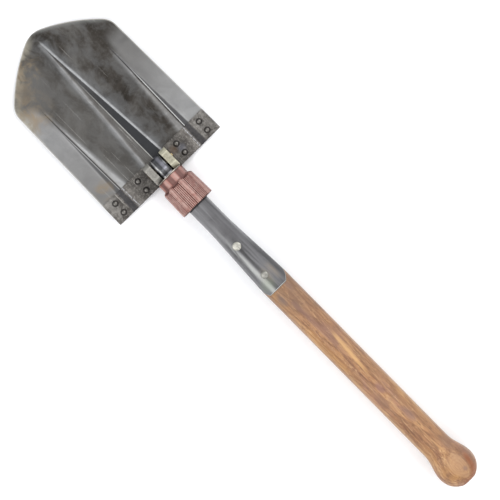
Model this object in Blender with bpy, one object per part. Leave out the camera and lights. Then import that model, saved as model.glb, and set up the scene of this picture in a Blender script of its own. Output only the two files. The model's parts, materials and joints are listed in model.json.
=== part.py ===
# Folding camp shovel: a pressed steel blade hinged to a steel socket and a wooden handle, with a nut
# that locks the hinge. Metres. +Y runs towards the blade's tip, +X across the blade and +Z up, with the
# blade's front face up. The shovel lies open on the plane Z = 0.

import math

import bmesh
import bpy
from mathutils import Matrix

# Driving dimensions. An "s" is a distance behind the hinge pin's axis, towards the ball.
TOTAL_LENGTH = 0.690
PIVOT_Y = 0.140
BALL_RADIUS = 0.02315
HANDLE_AXIS_Z = BALL_RADIUS
PIVOT_RISE = 0.0025
PIVOT_Z = HANDLE_AXIS_Z + PIVOT_RISE
TIP_Y = TOTAL_LENGTH / 2 - PIVOT_Y
GAP = 0.0003

# Blade, with heights counted from the pin's axis
BLADE_FACE = -0.0175
BLADE_THICKNESS = 0.0018
BLADE_REAR_S = 0.0146
TIP_RADIUS = 0.028
TIP_ROUND_ANGLE = math.radians(25)
ARCH_RADIUS = 0.200
SIDE_HALF_WIDTH_FRONT = 0.0748
SIDE_HALF_WIDTH_REAR = 0.0775
SIDE_FRONT_FROM_TIP = 0.053
CORNER_BLEND = 0.0070
TIP_FLAT = 0.0002
CENTRE_START_FROM_TIP = 0.0095
CENTRE_HALF_WIDTH = 0.0129
CENTRE_DEPTH = 0.0052
SIDE_START_Y = 0.134
SIDE_START_X = 0.0517
SIDE_INNER_X = 0.0399
SIDE_BOTTOM_X = 0.0489
SIDE_OUTER_X = 0.0575
SIDE_DEPTH = 0.0040
OUTER_PANEL_SLOPE = 0.07
TIP_CURL = 0.0012
TIP_CURL_LENGTH = 0.050

# Hinge
STRIP_THICKNESS = 0.0016
STRIP_FRONT_S = -0.0144
LUG_INNER_X = 0.0086
LUG_OUTER_X = 0.0173
LUG_HALF_LENGTH = 0.0127
LUG_RADIUS = 0.0130
LUG_TOP = 0.0105
PIN_RADIUS = 0.0040
PIN_CLEARANCE = 0.00025
TONGUE_HALF_WIDTH = 0.0070
EYE_RADIUS = 0.0122
NECK_HALF_HEIGHT = 0.0074
RIVET_RADIUS = 0.0022
RIVET_HEAD_RADIUS = 0.0029
RIVET_HEAD_HEIGHT = 0.0016
RIVET_XS = (0.0298, 0.0650)
RIVET_FROM_REAR = (0.0077, 0.0210)

# Nut and thread
WASHER_FRONT_S = 0.0132
WASHER_THICKNESS = 0.0012
WASHER_INNER_RADIUS = 0.0104
WASHER_OUTER_RADIUS = 0.0168
NUT_REAR_S = 0.0584
NUT_BORE_RADIUS = 0.0135
NUT_NECK_RADIUS = 0.01735
NUT_NECK_END_S = 0.0246
NUT_GRIP_START_S = 0.0266
NUT_GRIP_FRONT_RADIUS = 0.0205
NUT_GRIP_REAR_RADIUS = 0.0215
NUT_LOBES = 8
NUT_LOBE_TURN = math.radians(13)
NUT_NECK_RECESS = 0.0010
NUT_GRIP_RECESS = 0.0006
NUT_CHAMFER = 0.0007
INSERT_REAR_S = 0.0330
THREAD_RADIUS = 0.0100
SHANK_START_S = 0.0150

# Socket and handle
SOCKET_FRONT_S = 0.0463
SOCKET_TAPER_START_S = 0.0933
SOCKET_TAPER_END_S = 0.1760
SOCKET_REAR_S = 0.1866
SOCKET_RADIUS = 0.0130
SOCKET_WALL = 0.0015
NOTCH_APEX_S = 0.1746
NOTCH_HALF_HEIGHT = 0.0123
PLUG_END_S = 0.0750
WOOD_RADIUS = 0.01715
WOOD_NOSE_S = 0.0800
BALL_FLARE_START_S = 0.4320
BALL_CENTRE_S = 0.4630
BALL_END_RADIUS_Y = 0.0240
SOCKET_RIVET_RADIUS = 0.0026
SOCKET_RIVETS = {"front": (0.1218, 0.0050), "rear": (0.1655, 0.00435)}
RIVET_ROLL = math.radians(-9)

ROUND_SEGMENTS = 48
HOLE_SEGMENTS = 24


def clear_scene():
    for existing in list(bpy.data.objects):
        bpy.data.objects.remove(existing, do_unlink=True)


def make_material(name, colour, roughness, metallic):
    material = bpy.data.materials.new(name)
    material.use_nodes = True
    shader = material.node_tree.nodes["Principled BSDF"]
    shader.inputs["Base Color"].default_value = (*colour, 1)
    shader.inputs["Roughness"].default_value = roughness
    shader.inputs["Metallic"].default_value = metallic
    return material


def make_frame(name, location):
    frame = bpy.data.objects.new(name, None)
    frame.location = location
    bpy.context.scene.collection.objects.link(frame)
    return frame


def make_object(name, mesh_builder, frame, material=None, sharp_angle=40):
    """Turns a bmesh whose points are counted from the frame's origin into an object under that frame."""
    bmesh.ops.remove_doubles(mesh_builder, verts=mesh_builder.verts, dist=1e-7)
    bmesh.ops.recalc_face_normals(mesh_builder, faces=mesh_builder.faces)
    mesh = bpy.data.meshes.new(name)
    mesh_builder.to_mesh(mesh)
    mesh_builder.free()
    mesh.shade_smooth()
    mesh.set_sharp_from_angle(angle=math.radians(sharp_angle))
    if material:
        mesh.materials.append(material)
    result = bpy.data.objects.new(name, mesh)
    result.parent = frame
    bpy.context.scene.collection.objects.link(result)
    return result


def make_cutter(name, mesh_builder, frame):
    cutter = make_object(name, mesh_builder, frame)
    cutter.hide_render = True
    cutter.display_type = "WIRE"
    return cutter


def combine(target, other, operation):
    modifier = target.modifiers.new(f"{operation} {other.name}", "BOOLEAN")
    modifier.operation = operation
    modifier.solver = "EXACT"
    modifier.object = other


def turned(profile, segments=ROUND_SEGMENTS, closed=False):
    """Spins (s, radius) points about the handle's axis. A closed profile makes a ring."""
    builder = bmesh.new()
    corners = [builder.verts.new((radius, -s, 0)) for s, radius in profile]
    edges = [builder.edges.new(pair) for pair in zip(corners, corners[1:])]
    if closed:
        edges.append(builder.edges.new((corners[-1], corners[0])))
    bmesh.ops.spin(
        builder,
        geom=corners + edges,
        axis=(0, 1, 0),
        cent=(0, 0, 0),
        angle=math.tau,
        steps=segments,
        use_merge=True,
    )
    return builder


def turned_solid(profile, segments=ROUND_SEGMENTS):
    """Closes a profile onto the axis at both ends with flat faces."""
    first_s = profile[0][0]
    last_s = profile[-1][0]
    return turned([(first_s, 0), *profile, (last_s, 0)], segments)


def extruded_across(outline, low_x, high_x):
    """Extrudes a (y, z) outline along X."""
    builder = bmesh.new()
    corners = [builder.verts.new((low_x, y, z)) for y, z in outline]
    face = builder.faces.new(corners)
    grown = bmesh.ops.extrude_face_region(builder, geom=[face])
    moved = [item for item in grown["geom"] if isinstance(item, bmesh.types.BMVert)]
    bmesh.ops.translate(builder, vec=(high_x - low_x, 0, 0), verts=moved)
    return builder


def add_cylinder(builder, radius, depth, place, segments=HOLE_SEGMENTS):
    bmesh.ops.create_cone(
        builder,
        cap_ends=True,
        segments=segments,
        radius1=radius,
        radius2=radius,
        depth=depth,
        matrix=place,
    )


def arc(centre, radius, start, end, steps):
    angles = [start + (end - start) * step / steps for step in range(steps + 1)]
    return [(centre[0] + radius * math.cos(a), centre[1] + radius * math.sin(a)) for a in angles]


def mix(low, high, share):
    return low + (high - low) * share


def share_between(value, low, high):
    return min(1, max(0, (value - low) / (high - low)))


def smooth_minimum(first, second, blend):
    overlap = max(blend - abs(first - second), 0) / blend
    return min(first, second) - overlap * overlap * blend / 4


# The blade's surface. y is counted from the pin's axis, towards the tip.


def side_half_width(y):
    share = (TIP_Y - SIDE_FRONT_FROM_TIP - y) / (TIP_Y - SIDE_FRONT_FROM_TIP + BLADE_REAR_S)
    return mix(SIDE_HALF_WIDTH_FRONT, SIDE_HALF_WIDTH_REAR, share)


def half_width(y):
    """A round tip between two flatter arcs, which blend into the nearly straight sides."""
    behind = TIP_Y - y
    nose = TIP_RADIUS * (1 - math.cos(TIP_ROUND_ANGLE))
    if behind <= nose:
        return math.sqrt(max(0, TIP_RADIUS**2 - (TIP_RADIUS - behind) ** 2))
    centre_x = (TIP_RADIUS - ARCH_RADIUS) * math.sin(TIP_ROUND_ANGLE)
    centre_behind = nose + ARCH_RADIUS * math.cos(TIP_ROUND_ANGLE)
    arch = centre_x + math.sqrt(ARCH_RADIUS**2 - (centre_behind - behind) ** 2)
    return smooth_minimum(arch, side_half_width(y), CORNER_BLEND)


def centre_half_width(y):
    start = TIP_Y - CENTRE_START_FROM_TIP
    return max(0.0004, CENTRE_HALF_WIDTH * (start - y) / (start + STRIP_FRONT_S))


def side_channel(y):
    """(inner edge, bottom, outer edge, share of its full depth) of the side channel."""
    share = (SIDE_START_Y - y) / (SIDE_START_Y + BLADE_REAR_S)
    edges = [mix(SIDE_START_X, x, share) for x in (SIDE_INNER_X, SIDE_BOTTOM_X, SIDE_OUTER_X)]
    if share > 0:
        return (*edges, share)
    spread = 0.0001
    return SIDE_START_X - spread, SIDE_START_X, SIDE_START_X + spread, 0


def blade_height(x, y):
    x = abs(x)
    inner, bottom, outer, share = side_channel(y)
    centre = centre_half_width(y)
    height = BLADE_FACE
    if x < centre:
        height -= CENTRE_DEPTH * (1 - x / centre) * centre / CENTRE_HALF_WIDTH
    if inner < x <= bottom:
        height -= SIDE_DEPTH * share * (x - inner) / (bottom - inner)
    elif bottom < x < outer:
        height -= SIDE_DEPTH * share * (outer - x) / (outer - bottom)
    if x > outer:
        height += OUTER_PANEL_SLOPE * (x - outer) * share_between(share, 0, 0.15)
    curl = share_between(y, TIP_Y - TIP_CURL_LENGTH, TIP_Y)
    return height + TIP_CURL * curl * curl


def blade_columns(y):
    """x of the grid's columns on the right half, so that each crease lies along a column."""
    inner, bottom, outer, _ = side_channel(y)
    edge = half_width(y)
    centre = min(centre_half_width(y), edge / 2)
    squeeze = (edge - centre) / (side_half_width(y) - centre)
    creases = [0, centre, *[mix(centre, x, squeeze) for x in (inner, bottom, outer)], edge]
    columns = [0]
    for low, high, steps in zip(creases, creases[1:], (2, 4, 2, 2, 3)):
        columns += [mix(low, high, step / steps) for step in range(1, steps + 1)]
    return columns


def blade_rows():
    tip_steps = 12
    tip_length = SIDE_FRONT_FROM_TIP + 0.005
    first = 2 * TIP_FLAT
    rows = [TIP_Y - first - (tip_length - first) * (k / tip_steps) ** 1.7 for k in range(tip_steps + 1)]
    rows[0] = TIP_Y
    body_end = -STRIP_FRONT_S
    body_steps = 12
    rows += [mix(rows[-1], body_end, k / body_steps) for k in range(1, body_steps + 1)]
    return rows + strip_rows()[1:]


def strip_rows():
    return [-STRIP_FRONT_S, 0, -BLADE_REAR_S]


def sheet(columns_at, rows, height):
    """A grid whose points lie on the height function. Its top face looks up."""
    builder = bmesh.new()
    width = len(columns_at(rows[-1])) - 1
    bmesh.ops.create_grid(builder, x_segments=width, y_segments=len(rows) - 1, size=1)
    for corner in builder.verts:
        column = round((corner.co.x + 1) / 2 * width)
        row = round((1 - corner.co.y) / 2 * (len(rows) - 1))
        y = rows[row]
        x = columns_at(y)[column]
        corner.co = (x, y, height(x, y))
    return builder


def whole_columns(y):
    right = blade_columns(min(y, TIP_Y - TIP_FLAT))
    return [-x for x in reversed(right[1:])] + right


def strip_columns(y):
    """The strip's columns follow the blade's, from just inside the lug's outer face."""
    start = LUG_OUTER_X - GAP
    return [start] + [x for x in blade_columns(y) if x > LUG_OUTER_X + 0.001]


def solidify(target, thickness, offset):
    modifier = target.modifiers.new("Sheet thickness", "SOLIDIFY")
    modifier.thickness = thickness
    modifier.offset = offset
    modifier.use_even_offset = True


def rivet_places():
    """{name: matrix} of the blade's rivets, each square to the sheet. Z = 0 lies on the blade's face."""
    places = {}
    for side, sign in (("left", -1), ("right", 1)):
        count = 0
        for x in RIVET_XS:
            for from_rear in RIVET_FROM_REAR:
                count += 1
                y = from_rear - BLADE_REAR_S
                outer = side_channel(y)[2]
                tilt = -math.atan(OUTER_PANEL_SLOPE) * sign if x > outer else 0
                spot = Matrix.Translation((sign * x, y, blade_height(x, y)))
                places[f"blade_rivet_{side}_{count}"] = spot @ Matrix.Rotation(tilt, 4, "Y")
    return places


def dome_profile(radius, height, base):
    """Half outline of a domed head that stands on base, from its rim to its crown."""
    steps = 4
    angles = [math.pi / 2 * step / steps for step in range(steps + 1)]
    return [(radius * math.cos(a), base + height * (0.25 + 0.75 * math.sin(a))) for a in angles]


def rivet(radius, top_head, bottom_head, segments):
    """A rivet along Z. A head is (radius, height, where its underside lies)."""
    crown = dome_profile(*top_head)
    foot = [(r, -z) for r, z in dome_profile(bottom_head[0], bottom_head[1], -bottom_head[2])]
    outline = [*reversed(crown), (top_head[0], top_head[2]), (radius, top_head[2])]
    outline += [(radius, bottom_head[2]), (bottom_head[0], bottom_head[2]), *foot]
    builder = bmesh.new()
    corners = [builder.verts.new((max(r, 0), 0, z)) for r, z in outline]
    edges = [builder.edges.new(pair) for pair in zip(corners, corners[1:])]
    bmesh.ops.spin(
        builder,
        geom=corners + edges,
        axis=(0, 0, 1),
        cent=(0, 0, 0),
        angle=math.tau,
        steps=segments,
        use_merge=True,
    )
    bmesh.ops.remove_doubles(builder, verts=builder.verts, dist=1e-7)
    return builder


def make_blade(frame, material, holes):
    blade = make_object("blade", sheet(whole_columns, blade_rows(), blade_height), frame, material, 12)
    face_up(blade)
    solidify(blade, BLADE_THICKNESS, -1)
    combine(blade, holes, "DIFFERENCE")


def lug_outline():
    flat_angle = math.acos(LUG_HALF_LENGTH / LUG_RADIUS)
    top_angle = math.asin(LUG_TOP / LUG_RADIUS)
    front = arc((0, 0), LUG_RADIUS, flat_angle, top_angle, 4)
    rear = [(-y, z) for y, z in reversed(front)]
    foot = BLADE_FACE + GAP
    return [(LUG_HALF_LENGTH, foot), *front, *rear, (-LUG_HALF_LENGTH, foot)]


def make_bracket(side, sign, frame, material, rivet_holes, pin_hole):
    def surface(x, y):
        return blade_height(x, y) + GAP

    strip = sheet(strip_columns, strip_rows(), surface)
    lug = extruded_across(lug_outline(), LUG_INNER_X, LUG_OUTER_X)
    for builder in (strip, lug):
        bmesh.ops.scale(builder, vec=(sign, 1, 1), verts=builder.verts)
    bracket = make_object(f"hinge_bracket_{side}", strip, frame, material, 12)
    face_up(bracket)
    lug_block = make_cutter(f"{side}_lug_block", lug, frame)
    solidify(bracket, STRIP_THICKNESS, 1)
    combine(bracket, lug_block, "UNION")
    combine(bracket, pin_hole, "DIFFERENCE")
    combine(bracket, rivet_holes, "DIFFERENCE")


def face_up(target):
    """Turns an open sheet over if its faces look down."""
    mesh = target.data
    if sum(face.normal.z for face in mesh.polygons) < 0:
        mesh.flip_normals()


def make_blade_rivets(frame, material):
    top = (RIVET_HEAD_RADIUS, RIVET_HEAD_HEIGHT, STRIP_THICKNESS + 2 * GAP)
    bottom = (RIVET_HEAD_RADIUS, RIVET_HEAD_HEIGHT * 0.7, -BLADE_THICKNESS - GAP)
    for name, place in rivet_places().items():
        builder = rivet(RIVET_RADIUS, top, bottom, 16)
        piece = make_object(name, builder, frame, material)
        piece.location = place.translation
        piece.rotation_euler = place.to_euler()


def make_rivet_holes(frame):
    builder = bmesh.new()
    for place in rivet_places().values():
        add_cylinder(builder, RIVET_RADIUS + GAP, 0.012, place, 16)
    return make_cutter("blade_rivet_holes", builder, frame)


def across(radius, length):
    """A cylinder along X, centred on the frame's origin."""
    builder = bmesh.new()
    add_cylinder(builder, radius, length, Matrix.Rotation(math.pi / 2, 4, "Y"), 32)
    return builder


def make_pin(frame, material):
    head_inside = LUG_OUTER_X + GAP
    head = 0.0012
    profile = [
        (-head_inside - head, PIN_RADIUS * 0.95),
        (-head_inside - head * 0.5, PIN_RADIUS * 1.25),
        (-head_inside, PIN_RADIUS * 1.3),
        (-head_inside, PIN_RADIUS),
    ]
    profile += [(-x, radius) for x, radius in reversed(profile)]
    builder = turned_solid(profile, 32)
    bmesh.ops.rotate(builder, matrix=Matrix.Rotation(math.pi / 2, 3, "Z"), verts=builder.verts)
    make_object("hinge_pin", builder, frame, material)


def make_tongue(frame, material, pin_frame):
    top = NECK_HALF_HEIGHT - PIVOT_RISE
    bottom = -NECK_HALF_HEIGHT - PIVOT_RISE
    start = math.pi - math.asin(top / EYE_RADIUS)
    end = -math.pi + math.asin(-bottom / EYE_RADIUS)
    outline = arc((0, PIVOT_RISE), EYE_RADIUS, start, end, 30)
    neck_end = -SHANK_START_S - 0.0005
    outline += [(neck_end, -NECK_HALF_HEIGHT), (neck_end, NECK_HALF_HEIGHT)]
    builder = extruded_across(outline, -TONGUE_HALF_WIDTH, TONGUE_HALF_WIDTH)
    side_faces = [face for face in builder.faces if len(face.verts) > 4]
    rims = list({edge for face in side_faces for edge in face.edges})
    bmesh.ops.bevel(
        builder,
        geom=rims,
        offset=0.0016,
        offset_type="OFFSET",
        affect="EDGES",
        segments=2,
        profile=0.5,
        material=-1,
    )
    tongue = make_object("hinge_tongue", builder, frame, material)
    plug_radius = SOCKET_RADIUS - SOCKET_WALL - GAP
    shank = turned_solid(
        [
            (SHANK_START_S, THREAD_RADIUS - 0.0006),
            (SHANK_START_S + 0.0006, THREAD_RADIUS),
            (SOCKET_FRONT_S + GAP, THREAD_RADIUS),
            (SOCKET_FRONT_S + GAP, plug_radius),
            (PLUG_END_S, plug_radius),
        ]
    )
    combine(tongue, make_cutter("tongue_shank", shank, frame), "UNION")
    hole = across(PIN_RADIUS + PIN_CLEARANCE, 4 * TONGUE_HALF_WIDTH)
    combine(tongue, make_cutter("tongue_pin_hole", hole, pin_frame), "DIFFERENCE")


def make_washer(frame, material):
    rear = WASHER_FRONT_S + WASHER_THICKNESS
    profile = [
        (WASHER_FRONT_S, WASHER_INNER_RADIUS),
        (WASHER_FRONT_S, WASHER_OUTER_RADIUS),
        (rear, WASHER_OUTER_RADIUS),
        (rear, WASHER_INNER_RADIUS),
    ]
    make_object("thrust_washer", turned(profile, closed=True), frame, material)


def make_nut(frame, material, insert_material):
    front = WASHER_FRONT_S + WASHER_THICKNESS + GAP
    profile = [
        (front, NUT_BORE_RADIUS),
        (front, NUT_NECK_RADIUS - NUT_CHAMFER),
        (front + NUT_CHAMFER, NUT_NECK_RADIUS),
        (NUT_NECK_END_S, NUT_NECK_RADIUS),
        (NUT_GRIP_START_S, NUT_GRIP_FRONT_RADIUS),
        (NUT_REAR_S - NUT_CHAMFER, NUT_GRIP_REAR_RADIUS),
        (NUT_REAR_S, NUT_GRIP_REAR_RADIUS - NUT_CHAMFER),
        (NUT_REAR_S, NUT_BORE_RADIUS),
    ]
    builder = turned(profile, 12 * NUT_LOBES, closed=True)
    for corner in builder.verts:
        radius = math.hypot(corner.co.x, corner.co.z)
        if radius < NUT_NECK_RADIUS - 2 * NUT_CHAMFER:
            continue
        turn = math.atan2(corner.co.x, corner.co.z) - NUT_LOBE_TURN
        recess = NUT_GRIP_RECESS if radius > NUT_NECK_RADIUS + 0.001 else NUT_NECK_RECESS
        shrink = 1 - recess * (1 - math.cos(NUT_LOBES * turn)) / 2 / radius
        corner.co.x *= shrink
        corner.co.z *= shrink
    make_object("locking_nut", builder, frame, material)
    insert_profile = [
        (front + GAP, THREAD_RADIUS + GAP),
        (front + GAP, NUT_BORE_RADIUS - GAP),
        (INSERT_REAR_S, NUT_BORE_RADIUS - GAP),
        (INSERT_REAR_S, THREAD_RADIUS + GAP),
    ]
    make_object("nut_insert", turned(insert_profile, closed=True), frame, insert_material)


def socket_radius(s):
    share = share_between(s, SOCKET_TAPER_START_S, SOCKET_TAPER_END_S)
    return mix(SOCKET_RADIUS, WOOD_RADIUS, share)


def notch_prism(clearance):
    """The V notch that parts the socket's two straps, as a prism that crosses both sides."""
    apex_s = NOTCH_APEX_S + clearance
    length = 0.020
    half_height = NOTCH_HALF_HEIGHT * length / (SOCKET_REAR_S - NOTCH_APEX_S)
    outline = [(-apex_s, 0), (-apex_s - length, half_height), (-apex_s - length, -half_height)]
    prism = extruded_across(outline, -0.030, 0.030)
    bmesh.ops.rotate(prism, matrix=Matrix.Rotation(RIVET_ROLL, 3, "Y"), verts=prism.verts)
    return prism


def make_socket(frame, material, rivet_holes):
    stations = [SOCKET_FRONT_S, SOCKET_TAPER_START_S, SOCKET_TAPER_END_S, SOCKET_REAR_S]
    outer = [(s, socket_radius(s)) for s in stations]
    inner = [(s, radius - SOCKET_WALL) for s, radius in reversed(outer)]
    socket = make_object("socket", turned(outer + inner, closed=True), frame, material)
    combine(socket, make_cutter("socket_notch", notch_prism(0), frame), "DIFFERENCE")
    combine(socket, rivet_holes, "DIFFERENCE")


def make_handle(frame, material, rivet_holes):
    nose = [
        (s, socket_radius(s) - SOCKET_WALL - GAP)
        for s in (WOOD_NOSE_S, SOCKET_TAPER_START_S, NOTCH_APEX_S)
    ]
    shoulder = NOTCH_APEX_S + GAP
    profile = [*nose, (shoulder, nose[-1][1]), (shoulder, WOOD_RADIUS), (BALL_FLARE_START_S, WOOD_RADIUS)]
    flare_steps = 8
    for step in range(1, flare_steps + 1):
        share = step / flare_steps
        rise = (1 - math.cos(math.pi * share)) / 2
        s = mix(BALL_FLARE_START_S, BALL_CENTRE_S, share)
        profile.append((s, mix(WOOD_RADIUS, BALL_RADIUS, rise)))
    end_s = TOTAL_LENGTH - TIP_Y
    end_angle = math.asin((end_s - BALL_CENTRE_S) / BALL_END_RADIUS_Y)
    ball_steps = 8
    for step in range(1, ball_steps + 1):
        angle = end_angle * step / ball_steps
        s = BALL_CENTRE_S + BALL_END_RADIUS_Y * math.sin(angle)
        profile.append((s, BALL_RADIUS * math.cos(angle)))
    handle = make_object("wooden_handle", turned_solid(profile), frame, material)

    seat_radius = nose[-1][1] - 0.0001
    strap_seat = turned(
        [
            (shoulder - GAP, seat_radius),
            (shoulder - GAP, BALL_RADIUS),
            (SOCKET_REAR_S + GAP, BALL_RADIUS),
            (SOCKET_REAR_S + GAP, seat_radius),
        ],
        closed=True,
    )
    seat = make_cutter("strap_seats", strap_seat, frame)
    combine(seat, make_cutter("strap_ends", notch_prism(2 * GAP), frame), "DIFFERENCE")
    combine(handle, seat, "DIFFERENCE")
    combine(handle, rivet_holes, "DIFFERENCE")


def make_socket_rivet_holes(frame):
    builder = bmesh.new()
    for s, _ in SOCKET_RIVETS.values():
        place = Matrix.Rotation(RIVET_ROLL, 4, "Y") @ Matrix.Translation((0, -s, 0))
        add_cylinder(builder, SOCKET_RIVET_RADIUS + GAP, 0.060, place)
    return make_cutter("socket_rivet_holes", builder, frame)


def make_socket_rivets(frame, material):
    for end, (s, head_radius) in SOCKET_RIVETS.items():
        seat = socket_radius(s) + GAP
        head = (head_radius, 0.0013, seat)
        builder = rivet(SOCKET_RIVET_RADIUS, head, (head_radius, 0.0013, -seat), HOLE_SEGMENTS)
        piece = make_object(f"socket_rivet_{end}", builder, frame, material)
        piece.location = (0, -s, 0)
        piece.rotation_euler = (0, RIVET_ROLL, 0)


def make_shovel():
    clear_scene()
    hinge_axis = make_frame("hinge_axis", (0, PIVOT_Y, PIVOT_Z))
    handle_axis = make_frame("handle_axis", (0, PIVOT_Y, HANDLE_AXIS_Z))

    worn_steel = make_material("worn steel", (0.17, 0.16, 0.14), 0.42, 0.9)
    dark_steel = make_material("dark steel", (0.11, 0.11, 0.12), 0.40, 0.9)
    bracket_steel = make_material("bracket steel", (0.14, 0.13, 0.12), 0.50, 0.9)
    rivet_steel = make_material("rivet steel", (0.35, 0.33, 0.29), 0.40, 1)
    bare_steel = make_material("bare steel", (0.50, 0.48, 0.42), 0.40, 1)
    pin_metal = make_material("pin metal", (0.45, 0.36, 0.20), 0.40, 1)
    insert_metal = make_material("insert metal", (0.45, 0.44, 0.42), 0.40, 1)
    nut_plastic = make_material("nut plastic", (0.24, 0.075, 0.055), 0.50, 0)
    wood = make_material("oiled wood", (0.30, 0.14, 0.05), 0.50, 0)

    rivet_holes = make_rivet_holes(hinge_axis)
    lug_pin_hole = make_cutter("lug_pin_hole", across(PIN_RADIUS + PIN_CLEARANCE, 0.06), hinge_axis)
    socket_rivet_holes = make_socket_rivet_holes(handle_axis)

    make_blade(hinge_axis, worn_steel, rivet_holes)
    for side, sign in (("left", -1), ("right", 1)):
        make_bracket(side, sign, hinge_axis, bracket_steel, rivet_holes, lug_pin_hole)
    make_blade_rivets(hinge_axis, rivet_steel)
    make_pin(hinge_axis, pin_metal)
    make_tongue(handle_axis, dark_steel, hinge_axis)
    make_washer(handle_axis, bare_steel)
    make_nut(handle_axis, nut_plastic, insert_metal)
    make_socket(handle_axis, dark_steel, socket_rivet_holes)
    make_socket_rivets(handle_axis, rivet_steel)
    make_handle(handle_axis, wood, socket_rivet_holes)


make_shovel()
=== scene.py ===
import json
import math
import bmesh
import bpy
from mathutils import Matrix, Vector


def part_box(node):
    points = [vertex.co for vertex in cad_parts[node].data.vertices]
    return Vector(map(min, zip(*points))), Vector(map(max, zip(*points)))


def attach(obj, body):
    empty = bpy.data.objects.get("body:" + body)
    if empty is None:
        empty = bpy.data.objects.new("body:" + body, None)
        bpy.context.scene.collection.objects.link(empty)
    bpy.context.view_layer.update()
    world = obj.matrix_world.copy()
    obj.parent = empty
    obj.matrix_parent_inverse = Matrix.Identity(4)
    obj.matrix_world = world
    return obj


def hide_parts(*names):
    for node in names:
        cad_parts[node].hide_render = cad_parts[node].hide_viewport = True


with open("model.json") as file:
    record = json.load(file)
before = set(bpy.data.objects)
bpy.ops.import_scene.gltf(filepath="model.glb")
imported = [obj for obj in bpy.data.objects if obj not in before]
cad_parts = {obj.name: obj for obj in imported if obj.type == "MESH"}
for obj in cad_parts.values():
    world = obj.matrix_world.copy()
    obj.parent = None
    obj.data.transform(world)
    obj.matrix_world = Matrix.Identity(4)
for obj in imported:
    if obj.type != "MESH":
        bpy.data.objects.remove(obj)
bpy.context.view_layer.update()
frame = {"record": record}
print("frame loaded")

# Fixed places, all from the frame. An "s" is a distance behind the hinge pin's axis, towards the ball.
joints = frame["record"]["behaviour"]["joints"]
pivot = Vector(next(joint["pos_m"] for joint in joints if joint["name"] == "blade_fold"))
woodLow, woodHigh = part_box("wooden_handle")
axisZ = (woodLow[2] + woodHigh[2]) / 2
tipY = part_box("blade")[1][1] - pivot.y


def mix(low, high, share):
    return low + (high - low) * share


def clamp(value):
    return min(1, max(0, value))


def smoothStep(value, low, high):
    share = clamp((value - low) / (high - low))
    return share * share * (3 - 2 * share)


def softRamp(value, radius):  # max(0, value) with a rounded corner
    if value <= -radius:
        return 0
    if value >= radius:
        return value
    return (value + radius) ** 2 / (4 * radius)


def bevelSharp(bm, width, segments, angle):  # bevels the edges sharper than the angle, in degrees
    limit = math.radians(angle)
    edges = [e for e in bm.edges if len(e.link_faces) == 2 and e.calc_face_angle() > limit]
    bmesh.ops.bevel(bm, geom=edges, offset=width, offset_type="OFFSET", affect="EDGES",
                    segments=segments, profile=0.5, material=-1, clamp_overlap=True)


def wrapped(columns, rows, place):  # a grid rolled round the handle's axis; place gives (s, radius)
    bm = bmesh.new()
    bmesh.ops.create_grid(bm, x_segments=columns, y_segments=rows, size=1)
    for corner in bm.verts:
        turn = round((corner.co.x + 1) / 2 * columns) / columns * math.tau
        row = round((corner.co.y + 1) / 2 * rows)
        s, radius = place(turn, row)
        corner.co = (math.sin(turn) * radius, pivot.y - s, axisZ + math.cos(turn) * radius)
    bmesh.ops.remove_doubles(bm, verts=bm.verts, dist=1e-6)
    return bm


def spun(places, closed, centre, axis, steps):  # a line of places, or a loop of them, turned all round
    bm = bmesh.new()
    corners = [bm.verts.new(place) for place in places]
    ends = corners[1:] + corners[:1] if closed else corners[1:]
    edges = [bm.edges.new(pair) for pair in zip(corners, ends)]
    bmesh.ops.spin(bm, geom=corners + edges, cent=centre, axis=axis, angle=math.tau, steps=steps,
                   use_merge=True)
    bmesh.ops.remove_doubles(bm, verts=bm.verts, dist=1e-6)
    return bm


def grownCorners(bm):  # extrudes every face and returns the new corners
    grown = bmesh.ops.extrude_face_region(bm, geom=bm.faces[:])
    return [part for part in grown["geom"] if isinstance(part, bmesh.types.BMVert)]


def extrudedAcross(outline, lowX, highX):  # a (y, z) outline from the pin's axis, extruded along X
    bm = bmesh.new()
    bm.faces.new([bm.verts.new((lowX, pivot.y + y, pivot.z + z)) for y, z in outline])
    bmesh.ops.translate(bm, vec=(highX - lowX, 0, 0), verts=grownCorners(bm))
    return bm


def arcPoints(radius, start, end, steps):
    turns = [mix(start, end, k / steps) for k in range(steps + 1)]
    return [(radius * math.cos(t), radius * math.sin(t)) for t in turns]


def outward(bm):  # turns every face outwards
    bmesh.ops.recalc_face_normals(bm, faces=bm.faces)


def absorb(bm, other):  # joins another bmesh's shell into this one
    holder = bpy.data.meshes.new("holder")
    outward(other)
    other.to_mesh(holder)
    other.free()
    bm.from_mesh(holder)
    bpy.data.meshes.remove(holder)


def linked(name, data):  # a new object in the scene
    made = bpy.data.objects.new(name, data)
    bpy.context.scene.collection.objects.link(made)
    return made


def finish(name, bm, body, nodes, material, sharp):
    outward(bm)
    mesh = bpy.data.meshes.new(name)
    bm.to_mesh(mesh)
    bm.free()
    mesh.shade_smooth()
    mesh.set_sharp_from_angle(angle=math.radians(sharp))
    mesh.materials.append(material)
    piece = linked(name, mesh)
    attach(piece, body)
    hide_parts(*nodes)


def operatorPair(operation):  # an operator and its reflected form
    def forward(self, other):
        return self.look.maths(operation, self, other)

    def reflected(self, other):
        return self.look.maths(operation, other, self)

    return forward, reflected


class Value:  # a socket whose operators add Math nodes
    def __init__(self, look, socket):
        self.look = look
        self.socket = socket

    def __abs__(self):
        return self.look.maths("ABSOLUTE", self)

    __add__, __radd__ = operatorPair("ADD")
    __sub__, __rsub__ = operatorPair("SUBTRACT")
    __mul__, __rmul__ = operatorPair("MULTIPLY")
    __truediv__, __rtruediv__ = operatorPair("DIVIDE")
    __pow__, __rpow__ = operatorPair("POWER")


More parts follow.
